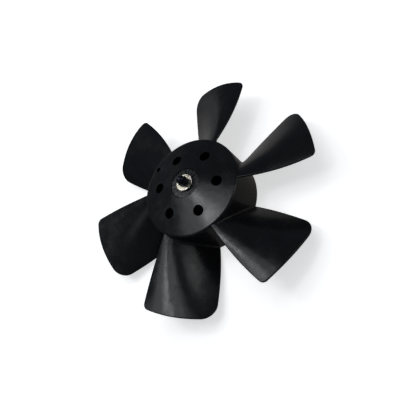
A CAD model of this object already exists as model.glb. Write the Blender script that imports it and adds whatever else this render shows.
"""Looks and studio for the axial fan impeller, laid out as a Blender add-on and run as a script."""
import math

import bmesh
import bpy
from bpy.props import FloatProperty, FloatVectorProperty, PointerProperty
from bpy.types import Operator, Panel, PropertyGroup
from mathutils import Matrix, Vector


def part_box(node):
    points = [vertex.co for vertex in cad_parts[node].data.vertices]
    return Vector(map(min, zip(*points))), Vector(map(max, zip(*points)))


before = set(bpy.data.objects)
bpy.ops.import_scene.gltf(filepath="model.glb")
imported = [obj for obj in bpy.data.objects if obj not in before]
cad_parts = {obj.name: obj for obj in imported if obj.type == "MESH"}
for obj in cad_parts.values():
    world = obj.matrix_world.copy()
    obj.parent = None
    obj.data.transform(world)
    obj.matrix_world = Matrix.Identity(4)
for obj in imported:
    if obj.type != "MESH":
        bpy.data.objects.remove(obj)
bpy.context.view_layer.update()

bl_info = {
    "name": "Axial Fan Impeller",
    "version": (1, 0, 0),
    "blender": (4, 5, 0),
    "location": "View3D > Sidebar > Fan",
    "description": "Dresses the moulded impeller and its hub fittings, and sets up the studio",
    "category": "Object",
}

HUB_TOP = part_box("impeller")[1].z

# Lengths are in metres, but the sensor's width is in millimetres as Blender takes it
SENSOR_WIDTH = 36.0
CAMERA_CLIP = 0.01
FLOOR_REACH = 6.0
PAD_RADIUS = 0.0555
PAD_THICKNESS = 0.0015
PAD_GAP = 0.0002
PAD_SIDES = 64
LIGHT_DISTANCE = 1.2

NEUTRAL = (1.0, 1.0, 1.0)
COOL = (0.95, 0.98, 1.0)
FELT_COLOUR = (0.004, 0.004, 0.004)
WORN_STEEL = (0.32, 0.33, 0.34)

# Moulded plastic: its refractive index, how far the patches, the specks and the rubbed edges go towards
# the dust colour, and how far the skin's roughness falls and rises about its mean
PLASTIC_IOR = 1.5
PATCH_SHARE = 0.10
SPECK_SHARE = 0.5
RUBBED_SHARE = 0.35
SHEEN_FALL = 0.03
SHEEN_RISE = 0.05

# Metals: how far the washer's patches go towards the stain, how bright the bush's dull patches are
# beside its bare steel, and how deep the turned marks are
STAIN_SHARE = 0.8
DULL_SHARE = 0.6
WASHER_MARK_DEPTH = 0.000004
BUSH_MARK_DEPTH = 0.00002

# Worn edges: the radius of the rounding that the surface is compared with, and the ends of two soft
# steps, one over how far the two differ and one over the noise that breaks the wear up
WEAR_RADIUS = 0.0006
WEAR_BEND = (0.015, 0.20)
WEAR_BREAKS = (0.38, 0.62)

# The room: the ends of two soft steps, one over how far a direction points up and one over how far it
# points to the far side
HORIZON = (-0.1, 0.1)
FAR_SIDE = (0.3, 0.95)

# Each softbox: its name, its azimuth and elevation from the hub in degrees, its width and height in
# metres, its power in watts and its tint
SOFTBOXES = (
    ("key", 101.0, 54.0, (0.22, 0.36), 2.3, COOL),
    ("top", 125.0, 80.0, (0.30, 0.22), 1.5, COOL),
    ("left_high", 138.0, 63.0, (0.30, 0.30), 0.4, COOL),
    ("top_right", 30.0, 78.0, (0.25, 0.25), 0.3, NEUTRAL),
    ("top_front", 275.0, 80.0, (0.30, 0.30), 0.5, COOL),
    ("window", 316.0, 42.0, (0.20, 0.60), 0.6, NEUTRAL),
    ("low_window", 310.0, 10.0, (0.80, 0.40), 0.6, NEUTRAL),
    ("back", 82.0, 6.0, (0.60, 0.20), 0.1, NEUTRAL),
    ("left", 178.0, 43.0, (0.30, 0.30), 0.15, COOL),
)

# The broad light that casts the floor's shadows and is kept out of the reflections, in the same order
FLOOR_LIGHT = ("floor_light", 40.0, 62.0, (0.80, 0.80), 3.0, NEUTRAL)


# ---------------------------------------------------------------- settings


class PlasticSettings(PropertyGroup):
    """Finish of the moulded blades and hub"""

    colour: FloatVectorProperty(
        name="Colour", description="Colour of the moulding compound", subtype="COLOR",
        size=3, min=0.0, max=1.0, default=(0.0026, 0.0028, 0.0034))
    dust_colour: FloatVectorProperty(
        name="Dust", description="Colour of the fine dust and of rubbed edges", subtype="COLOR",
        size=3, min=0.0, max=1.0, default=(0.020, 0.022, 0.027))
    roughness: FloatProperty(
        name="Roughness", description="Mean roughness of the moulded skin", subtype="FACTOR",
        min=0.0, max=1.0, default=0.235)
    grain_size: FloatProperty(
        name="Grain", description="Distance between the grains of the spark-eroded mould skin",
        subtype="DISTANCE", unit="LENGTH", min=0.0001, max=0.01, default=0.0009)
    grain_depth: FloatProperty(
        name="Grain depth", description="Height of the grain", subtype="DISTANCE", unit="LENGTH",
        min=0.0, max=0.001, default=0.000006)
    wave_depth: FloatProperty(
        name="Wave depth", description="Height of the soft waves that sinking leaves in the skin",
        subtype="DISTANCE", unit="LENGTH", min=0.0, max=0.001, default=0.0001)


class MetalSettings(PropertyGroup):
    """Finishes of the bush, the washer and the nut"""

    washer_colour: FloatVectorProperty(
        name="Washer", description="Colour of the washer's bright plating", subtype="COLOR",
        size=3, min=0.0, max=1.0, default=(0.92, 0.86, 0.74))
    stain_colour: FloatVectorProperty(
        name="Stain", description="Colour of the washer's stained patches", subtype="COLOR",
        size=3, min=0.0, max=1.0, default=(0.42, 0.37, 0.25))
    nut_colour: FloatVectorProperty(
        name="Nut", description="Colour of the nut's black finish", subtype="COLOR",
        size=3, min=0.0, max=1.0, default=(0.032, 0.038, 0.048))
    bush_colour: FloatVectorProperty(
        name="Bush", description="Colour of the bush's turned steel", subtype="COLOR",
        size=3, min=0.0, max=1.0, default=(0.50, 0.49, 0.46))


class StudioSettings(PropertyGroup):
    """Floor, lights and camera"""

    camera_place: FloatVectorProperty(
        name="Camera", description="Where the camera stands", subtype="TRANSLATION", unit="LENGTH",
        size=3, default=(-0.04085, -0.35687, 0.46808))
    camera_aim: FloatVectorProperty(
        name="Aim", description="Point on the floor that the camera looks at", subtype="TRANSLATION",
        unit="LENGTH", size=3, default=(-0.0036, 0.0168, 0.0))
    camera_roll: FloatProperty(
        name="Roll", description="Turn of the camera about its line of sight", subtype="ANGLE",
        unit="ROTATION", default=math.radians(-54.0))
    focal_length: FloatProperty(
        name="Focal length", description="Focal length in millimetres on a 36 mm wide sensor",
        min=10.0, max=200.0, default=45.14)
    floor_colour: FloatVectorProperty(
        name="Floor", description="Colour of the seamless floor", subtype="COLOR",
        size=3, min=0.0, max=1.0, default=(0.86, 0.86, 0.86))
    floor_glow: FloatProperty(
        name="Floor glow", description="Light that the floor gives off by itself, as a light table does",
        min=0.0, max=5.0, default=0.62)
    light_power: FloatProperty(
        name="Lights", description="Number that every softbox's power is multiplied by", min=0.0, max=20.0,
        default=1.0)
    backdrop_colour: FloatVectorProperty(
        name="Backdrop", description="Colour behind the floor's far edge", subtype="COLOR",
        size=3, min=0.0, max=1.0, default=(0.68, 0.69, 0.70))
    room_colour: FloatVectorProperty(
        name="Room", description="Colour of the dim room in reflections from above the horizon",
        subtype="COLOR", size=3, min=0.0, max=1.0, default=(0.062, 0.073, 0.088))
    low_colour: FloatVectorProperty(
        name="Low room", description="Colour of the dim room in reflections from below the horizon",
        subtype="COLOR", size=3, min=0.0, max=1.0, default=(0.112, 0.107, 0.100))
    far_colour: FloatVectorProperty(
        name="Far floor", description="Colour of reflections from below the horizon on the far side",
        subtype="COLOR", size=3, min=0.0, max=1.0, default=(0.245, 0.243, 0.240))


# ---------------------------------------------------------------- node helpers


def new_node(tree, kind, **settings):
    """A node of that kind, with its settings and the values of its input sockets."""
    node = tree.nodes.new(kind)
    sockets = settings.pop("sockets", {})
    for name, value in settings.items():
        setattr(node, name, value)
    for name, value in sockets.items():
        node.inputs[name].default_value = value
    return node


def new_group(name, inputs, outputs):
    """An empty shader node group with float, colour or vector sockets."""
    tree = bpy.data.node_groups.new(name, "ShaderNodeTree")
    for label, kind, default in inputs:
        socket = tree.interface.new_socket(name=label, in_out="INPUT", socket_type=kind)
        if default is not None:
            socket.default_value = default
    for label, kind in outputs:
        tree.interface.new_socket(name=label, in_out="OUTPUT", socket_type=kind)
    return tree, tree.nodes.new("NodeGroupInput"), tree.nodes.new("NodeGroupOutput")


def math_node(tree, operation, first, second, clamp=False):
    """A Math node whose operands are sockets or plain numbers."""
    node = new_node(tree, "ShaderNodeMath", operation=operation, use_clamp=clamp)
    for slot, value in enumerate((first, second)):
        if isinstance(value, (int, float)):
            node.inputs[slot].default_value = value
        else:
            tree.links.new(value, node.inputs[slot])
    return node.outputs[0]


def ramp(tree, value, low, high):
    """Maps a socket from low..high to 0..1, smoothly."""
    node = new_node(tree, "ShaderNodeMapRange", interpolation_type="SMOOTHSTEP",
                    sockets={"From Min": low, "From Max": high})
    tree.links.new(value, node.inputs["Value"])
    return node.outputs["Result"]


def mix_colour(tree, factor, first, second):
    """A Mix node for colours: its factor is a socket, and its operands are sockets or plain colours."""
    node = new_node(tree, "ShaderNodeMix", data_type="RGBA")
    for label, value in (("Factor", factor), ("A", first), ("B", second)):
        socket = [s for s in node.inputs if s.name == label and s.enabled][0]
        if isinstance(value, tuple):
            socket.default_value = (*value, 1.0)
        else:
            tree.links.new(value, socket)
    return [s for s in node.outputs if s.enabled][0]


# ---------------------------------------------------------------- shared effects


def mottle_group():
    """Soft uneven patches, as an uneven skin, handling or wiping leaves them."""
    tree, inlet, outlet = new_group(
        "mottle",
        [("Place", "NodeSocketVector", None), ("Patches per metre", "NodeSocketFloat", 40.0),
         ("Low", "NodeSocketFloat", 0.0), ("High", "NodeSocketFloat", 1.0)],
        [("Value", "NodeSocketFloat")])
    noise = new_node(tree, "ShaderNodeTexNoise", sockets={"Detail": 4.0, "Roughness": 0.55})
    tree.links.new(inlet.outputs["Place"], noise.inputs["Vector"])
    tree.links.new(inlet.outputs["Patches per metre"], noise.inputs["Scale"])
    spread = new_node(tree, "ShaderNodeMapRange", interpolation_type="SMOOTHSTEP",
                      sockets={"From Min": 0.32, "From Max": 0.68})
    tree.links.new(noise.outputs["Fac"], spread.inputs["Value"])
    tree.links.new(inlet.outputs["Low"], spread.inputs["To Min"])
    tree.links.new(inlet.outputs["High"], spread.inputs["To Max"])
    tree.links.new(spread.outputs["Result"], outlet.inputs["Value"])
    return tree


def edge_wear_group():
    """Mask of the edges, broken up as rubbing and handling leave them."""
    tree, inlet, outlet = new_group(
        "edge wear",
        [("Place", "NodeSocketVector", None), ("Amount", "NodeSocketFloat", 1.0)],
        [("Mask", "NodeSocketFloat")])
    rounded = new_node(tree, "ShaderNodeBevel", samples=6, sockets={"Radius": WEAR_RADIUS})
    geometry = new_node(tree, "ShaderNodeNewGeometry")
    alike = new_node(tree, "ShaderNodeVectorMath", operation="DOT_PRODUCT")
    tree.links.new(rounded.outputs["Normal"], alike.inputs[0])
    tree.links.new(geometry.outputs["Normal"], alike.inputs[1])
    bent = ramp(tree, math_node(tree, "SUBTRACT", 1.0, alike.outputs["Value"]), *WEAR_BEND)
    noise = new_node(tree, "ShaderNodeTexNoise", sockets={"Scale": 350.0, "Detail": 3.0})
    tree.links.new(inlet.outputs["Place"], noise.inputs["Vector"])
    broken = math_node(tree, "MULTIPLY", bent, ramp(tree, noise.outputs["Fac"], *WEAR_BREAKS))
    mask = math_node(tree, "MULTIPLY", broken, inlet.outputs["Amount"], clamp=True)
    tree.links.new(mask, outlet.inputs["Mask"])
    return tree


def speck_group():
    """Mask of small scattered specks, such as dust or pits."""
    tree, inlet, outlet = new_group(
        "specks",
        [("Place", "NodeSocketVector", None), ("Specks per metre", "NodeSocketFloat", 250.0),
         ("Speck size", "NodeSocketFloat", 0.12), ("Share", "NodeSocketFloat", 0.3)],
        [("Mask", "NodeSocketFloat")])
    cells = new_node(tree, "ShaderNodeTexVoronoi", feature="F1")
    tree.links.new(inlet.outputs["Place"], cells.inputs["Vector"])
    tree.links.new(inlet.outputs["Specks per metre"], cells.inputs["Scale"])
    near = math_node(tree, "LESS_THAN", cells.outputs["Distance"], inlet.outputs["Speck size"])
    pick = new_node(tree, "ShaderNodeSeparateColor")
    tree.links.new(cells.outputs["Color"], pick.inputs["Color"])
    chosen = math_node(tree, "LESS_THAN", pick.outputs["Red"], inlet.outputs["Share"])
    tree.links.new(math_node(tree, "MULTIPLY", near, chosen), outlet.inputs["Mask"])
    return tree


def turned_marks_group():
    """Height of the fine rings round the turning axis that turning or tightening leaves."""
    tree, inlet, outlet = new_group(
        "turned marks",
        [("Place", "NodeSocketVector", None), ("Lines per metre", "NodeSocketFloat", 4000.0)],
        [("Height", "NodeSocketFloat")])
    flat = new_node(tree, "ShaderNodeVectorMath", operation="MULTIPLY")
    flat.inputs[1].default_value = (1.0, 1.0, 0.0)
    tree.links.new(inlet.outputs["Place"], flat.inputs[0])
    radius = new_node(tree, "ShaderNodeVectorMath", operation="LENGTH")
    tree.links.new(flat.outputs["Vector"], radius.inputs[0])
    across = math_node(tree, "MULTIPLY", radius.outputs["Value"], inlet.outputs["Lines per metre"])
    lines = new_node(tree, "ShaderNodeTexNoise", noise_dimensions="1D",
                     sockets={"Scale": 1.0, "Detail": 2.0})
    tree.links.new(across, lines.inputs["W"])
    tree.links.new(lines.outputs["Fac"], outlet.inputs["Height"])
    return tree


# ---------------------------------------------------------------- materials


def start_material(name):
    """An empty material with its shader, output and Object coordinates."""
    material = bpy.data.materials.new(name)
    material.use_nodes = True
    tree = material.node_tree
    tree.nodes.clear()
    shader = tree.nodes.new("ShaderNodeBsdfPrincipled")
    outlet = tree.nodes.new("ShaderNodeOutputMaterial")
    tree.links.new(shader.outputs["BSDF"], outlet.inputs["Surface"])
    place = tree.nodes.new("ShaderNodeTexCoord").outputs["Object"]
    return material, tree, shader, place


def placed(tree, group, place, **values):
    """The output of a shared group at the surface's Object coordinates, with its own input values."""
    node = tree.nodes.new("ShaderNodeGroup")
    node.node_tree = group
    for label, value in values.items():
        node.inputs[label.replace("_", " ")].default_value = value
    tree.links.new(place, node.inputs["Place"])
    return node.outputs[0]


def add_bump(tree, shader, height, depth):
    """Relief on the shader's normal, where a height of 1 stands that many metres proud."""
    bump = new_node(tree, "ShaderNodeBump", sockets={"Strength": 1.0, "Distance": depth})
    tree.links.new(height, bump.inputs["Height"])
    tree.links.new(bump.outputs["Normal"], shader.inputs["Normal"])


def moulded_plastic(settings, groups):
    """Black satin moulding: fine grain, uneven sheen, faint dust and rubbed edges."""
    material, tree, shader, place = start_material("moulded_black_plastic")
    patches = placed(tree, groups["mottle"], place, Patches_per_metre=38.0)
    wear = placed(tree, groups["edge wear"], place, Amount=0.3)
    dust = placed(tree, groups["specks"], place, Specks_per_metre=230.0, Speck_size=0.10, Share=0.10)
    colour = tuple(settings.colour)
    for mask, share in ((patches, PATCH_SHARE), (dust, SPECK_SHARE), (wear, RUBBED_SHARE)):
        colour = mix_colour(tree, math_node(tree, "MULTIPLY", mask, share), colour,
                            tuple(settings.dust_colour))
    tree.links.new(colour, shader.inputs["Base Color"])
    sheen = placed(tree, groups["mottle"], place, Patches_per_metre=70.0,
                   Low=settings.roughness - SHEEN_FALL, High=settings.roughness + SHEEN_RISE)
    tree.links.new(sheen, shader.inputs["Roughness"])
    grain = new_node(tree, "ShaderNodeTexNoise",
                     sockets={"Scale": 1.0 / settings.grain_size, "Detail": 2.0})
    tree.links.new(place, grain.inputs["Vector"])
    waves = placed(tree, groups["mottle"], place, Patches_per_metre=42.0)
    relief = math_node(tree, "ADD",
                       math_node(tree, "MULTIPLY", grain.outputs["Fac"], settings.grain_depth),
                       math_node(tree, "MULTIPLY", waves, settings.wave_depth))
    add_bump(tree, shader, relief, 1.0)
    shader.inputs["IOR"].default_value = PLASTIC_IOR
    return material


def bright_plate(settings, groups):
    """Bright plated steel with stained patches and faint turned marks."""
    material, tree, shader, place = start_material("bright_zinc_plate")
    shader.inputs["Metallic"].default_value = 1.0
    patches = placed(tree, groups["mottle"], place, Patches_per_metre=210.0)
    stained = mix_colour(tree, math_node(tree, "MULTIPLY", patches, STAIN_SHARE),
                         tuple(settings.washer_colour), tuple(settings.stain_colour))
    tree.links.new(stained, shader.inputs["Base Color"])
    tree.links.new(placed(tree, groups["mottle"], place, Patches_per_metre=420.0, Low=0.24, High=0.34),
                   shader.inputs["Roughness"])
    marks = placed(tree, groups["turned marks"], place, Lines_per_metre=5000.0)
    add_bump(tree, shader, marks, WASHER_MARK_DEPTH)
    return material


def black_oxide(settings, groups):
    """Black oxide on steel, oiled, with brighter worn corners."""
    material, tree, shader, place = start_material("black_oxide_steel")
    shader.inputs["Metallic"].default_value = 1.0
    wear = placed(tree, groups["edge wear"], place, Amount=0.8)
    tree.links.new(mix_colour(tree, wear, tuple(settings.nut_colour), WORN_STEEL),
                   shader.inputs["Base Color"])
    tree.links.new(placed(tree, groups["mottle"], place, Patches_per_metre=500.0, Low=0.30, High=0.42),
                   shader.inputs["Roughness"])
    return material


def turned_steel(settings, groups):
    """Turned steel with the tool's fine rings."""
    material, tree, shader, place = start_material("turned_bush_steel")
    shader.inputs["Metallic"].default_value = 1.0
    patches = placed(tree, groups["mottle"], place, Patches_per_metre=180.0)
    dull = tuple(DULL_SHARE * value for value in settings.bush_colour)
    tree.links.new(mix_colour(tree, patches, tuple(settings.bush_colour), dull),
                   shader.inputs["Base Color"])
    tree.links.new(placed(tree, groups["mottle"], place, Patches_per_metre=300.0, Low=0.28, High=0.42),
                   shader.inputs["Roughness"])
    marks = placed(tree, groups["turned marks"], place, Lines_per_metre=3500.0)
    add_bump(tree, shader, marks, BUSH_MARK_DEPTH)
    return material


def shared_groups():
    """The shared effects, built once and found again by name."""
    makers = {"mottle": mottle_group, "edge wear": edge_wear_group, "specks": speck_group,
              "turned marks": turned_marks_group}
    return {name: bpy.data.node_groups.get(name) or make() for name, make in makers.items()}


def dress(node, material):
    """Gives a CAD node its material in place of the plain one."""
    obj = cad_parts[node]
    if not obj.material_slots:
        obj.data.materials.append(material)
    for slot in obj.material_slots:
        slot.material = material


# ---------------------------------------------------------------- studio


def look_from(place, aim, roll):
    """Camera matrix at a place, towards a point, turned about the line of sight."""
    turn = (aim - place).to_track_quat("-Z", "Y").to_matrix().to_4x4()
    return Matrix.Translation(place) @ turn @ Matrix.Rotation(roll, 4, "Z")


def add_softbox(name, azimuth, elevation, size, power, tint, gain):
    """Rectangular area light at an azimuth and elevation, in degrees, from the hub, which it faces."""
    turn, rise = math.radians(azimuth), math.radians(elevation)
    hub = Vector((0.0, 0.0, HUB_TOP))
    away = Vector((math.cos(rise) * math.cos(turn), math.cos(rise) * math.sin(turn), math.sin(rise)))
    light = bpy.data.lights.new(name, "AREA")
    light.shape = "RECTANGLE"
    light.size, light.size_y = size
    light.energy = power * gain
    light.color = tint
    obj = bpy.data.objects.new(name, light)
    obj.matrix_world = look_from(hub + LIGHT_DISTANCE * away, hub, 0.0)
    obj.visible_camera = False
    bpy.context.scene.collection.objects.link(obj)
    return obj


def stage_piece(name, shape, material):
    """A stage object from a bmesh, which is freed."""
    mesh = bpy.data.meshes.new(name)
    shape.to_mesh(mesh)
    shape.free()
    mesh.materials.append(material)
    obj = bpy.data.objects.new(name, mesh)
    bpy.context.scene.collection.objects.link(obj)
    return obj


def matt_material(name, colour, glow=0.0):
    """A material without any shine, which can give off white light by itself."""
    material, _, shader, _ = start_material(name)
    shader.inputs["Base Color"].default_value = (*colour, 1.0)
    shader.inputs["Roughness"].default_value = 1.0
    shader.inputs["Specular IOR Level"].default_value = 0.0
    shader.inputs["Emission Color"].default_value = (1.0, 1.0, 1.0, 1.0)
    shader.inputs["Emission Strength"].default_value = glow
    return material


def add_floor(settings):
    """Wide pale floor that glows a little and is kept out of the reflections."""
    material = matt_material("pale_floor", settings.floor_colour, settings.floor_glow)
    shape = bmesh.new()
    bmesh.ops.create_grid(shape, x_segments=1, y_segments=1, size=FLOOR_REACH)
    stage_piece("floor", shape, material).visible_glossy = False


def add_pad():
    """Black felt disc under the hub, so that its holes look dark."""
    shape = bmesh.new()
    bmesh.ops.create_cone(shape, cap_ends=True, segments=PAD_SIDES, radius1=PAD_RADIUS,
                          radius2=PAD_RADIUS, depth=PAD_THICKNESS)
    bmesh.ops.translate(shape, verts=shape.verts, vec=(0.0, 0.0, PAD_THICKNESS / 2 + PAD_GAP))
    stage_piece("felt_pad", shape, matt_material("black_felt", FELT_COLOUR))


def add_room(settings):
    """A room that is dim in the reflections and a pale backdrop to the camera."""
    world = bpy.data.worlds.new("room")
    world.use_nodes = True
    tree = world.node_tree
    tree.nodes.clear()
    toward = new_node(tree, "ShaderNodeSeparateXYZ")
    tree.links.new(new_node(tree, "ShaderNodeTexCoord").outputs["Generated"], toward.inputs[0])
    above = ramp(tree, toward.outputs["Z"], *HORIZON)
    beyond = ramp(tree, toward.outputs["Y"], *FAR_SIDE)
    low = mix_colour(tree, beyond, tuple(settings.low_colour), tuple(settings.far_colour))
    dim = new_node(tree, "ShaderNodeBackground")
    tree.links.new(mix_colour(tree, above, low, tuple(settings.room_colour)), dim.inputs["Color"])
    pale = new_node(tree, "ShaderNodeBackground")
    pale.inputs["Color"].default_value = (*settings.backdrop_colour, 1.0)
    choose = new_node(tree, "ShaderNodeMixShader")
    tree.links.new(new_node(tree, "ShaderNodeLightPath").outputs["Is Camera Ray"], choose.inputs["Fac"])
    tree.links.new(dim.outputs["Background"], choose.inputs[1])
    tree.links.new(pale.outputs["Background"], choose.inputs[2])
    outlet = new_node(tree, "ShaderNodeOutputWorld")
    tree.links.new(choose.outputs["Shader"], outlet.inputs["Surface"])
    bpy.context.scene.world = world


def add_camera(settings):
    """Camera at its place, without depth of field."""
    camera = bpy.data.cameras.new("camera")
    camera.sensor_width = SENSOR_WIDTH
    camera.lens = settings.focal_length
    camera.clip_start = CAMERA_CLIP
    obj = bpy.data.objects.new("camera", camera)
    obj.matrix_world = look_from(Vector(settings.camera_place), Vector(settings.camera_aim),
                                 settings.camera_roll)
    bpy.context.scene.collection.objects.link(obj)
    bpy.context.scene.camera = obj


# ---------------------------------------------------------------- operators


class FAN_OT_impeller(Operator):
    """Gives the moulded impeller its black plastic"""

    bl_idname = "fan.impeller"
    bl_label = "Dress Impeller"

    def execute(self, context):
        dress("impeller", moulded_plastic(context.scene.fan_plastic, shared_groups()))
        return {"FINISHED"}


class FAN_OT_bush(Operator):
    """Gives the hub's bush its turned steel"""

    bl_idname = "fan.bush"
    bl_label = "Dress Bush"

    def execute(self, context):
        dress("hub_bush", turned_steel(context.scene.fan_metal, shared_groups()))
        return {"FINISHED"}


class FAN_OT_washer(Operator):
    """Gives the washer its bright plating"""

    bl_idname = "fan.washer"
    bl_label = "Dress Washer"

    def execute(self, context):
        dress("washer", bright_plate(context.scene.fan_metal, shared_groups()))
        return {"FINISHED"}


class FAN_OT_nut(Operator):
    """Gives the closed nut its black oxide"""

    bl_idname = "fan.nut"
    bl_label = "Dress Nut"

    def execute(self, context):
        dress("cap_nut", black_oxide(context.scene.fan_metal, shared_groups()))
        return {"FINISHED"}


class FAN_OT_studio(Operator):
    """Sets up the floor, the soft lights and the camera"""

    bl_idname = "fan.studio"
    bl_label = "Set Up Studio"

    def execute(self, context):
        settings = context.scene.fan_studio
        add_floor(settings)
        add_pad()
        for softbox in SOFTBOXES:
            add_softbox(*softbox, settings.light_power)
        add_softbox(*FLOOR_LIGHT, settings.light_power).visible_glossy = False
        add_room(settings)
        add_camera(settings)
        context.scene.view_settings.view_transform = "Standard"
        return {"FINISHED"}


class FAN_PT_panel(Panel):
    """Lists the impeller's settings and steps"""

    bl_label = "Fan Impeller"
    bl_space_type = "VIEW_3D"
    bl_region_type = "UI"
    bl_category = "Fan"

    def draw(self, context):
        for title, group, steps in PANEL_ROWS:
            box = self.layout.box()
            box.label(text=title)
            settings = getattr(context.scene, group)
            for name in settings.__annotations__:
                box.prop(settings, name)
            for step in steps:
                box.operator(step.bl_idname)


PANEL_ROWS = (
    ("Plastic", "fan_plastic", (FAN_OT_impeller,)),
    ("Metal", "fan_metal", (FAN_OT_bush, FAN_OT_washer, FAN_OT_nut)),
    ("Studio", "fan_studio", (FAN_OT_studio,)),
)
GROUPS = {"fan_plastic": PlasticSettings, "fan_metal": MetalSettings, "fan_studio": StudioSettings}
CLASSES = (PlasticSettings, MetalSettings, StudioSettings, FAN_OT_impeller, FAN_OT_bush, FAN_OT_washer,
           FAN_OT_nut, FAN_OT_studio, FAN_PT_panel)


def register():
    """Registers the classes and hangs the settings on the scene."""
    for item in CLASSES:
        bpy.utils.register_class(item)
    for name, group in GROUPS.items():
        setattr(bpy.types.Scene, name, PointerProperty(type=group))


def unregister():
    """Takes the settings off the scene and unregisters the classes."""
    for name in GROUPS:
        delattr(bpy.types.Scene, name)
    for item in reversed(CLASSES):
        bpy.utils.unregister_class(item)


def main():
    """Runs every step in order."""
    register()
    for _, _, steps in PANEL_ROWS:
        for step in steps:
            area, name = step.bl_idname.split(".")
            getattr(getattr(bpy.ops, area), name)()


if __name__ == "__main__":
    main()
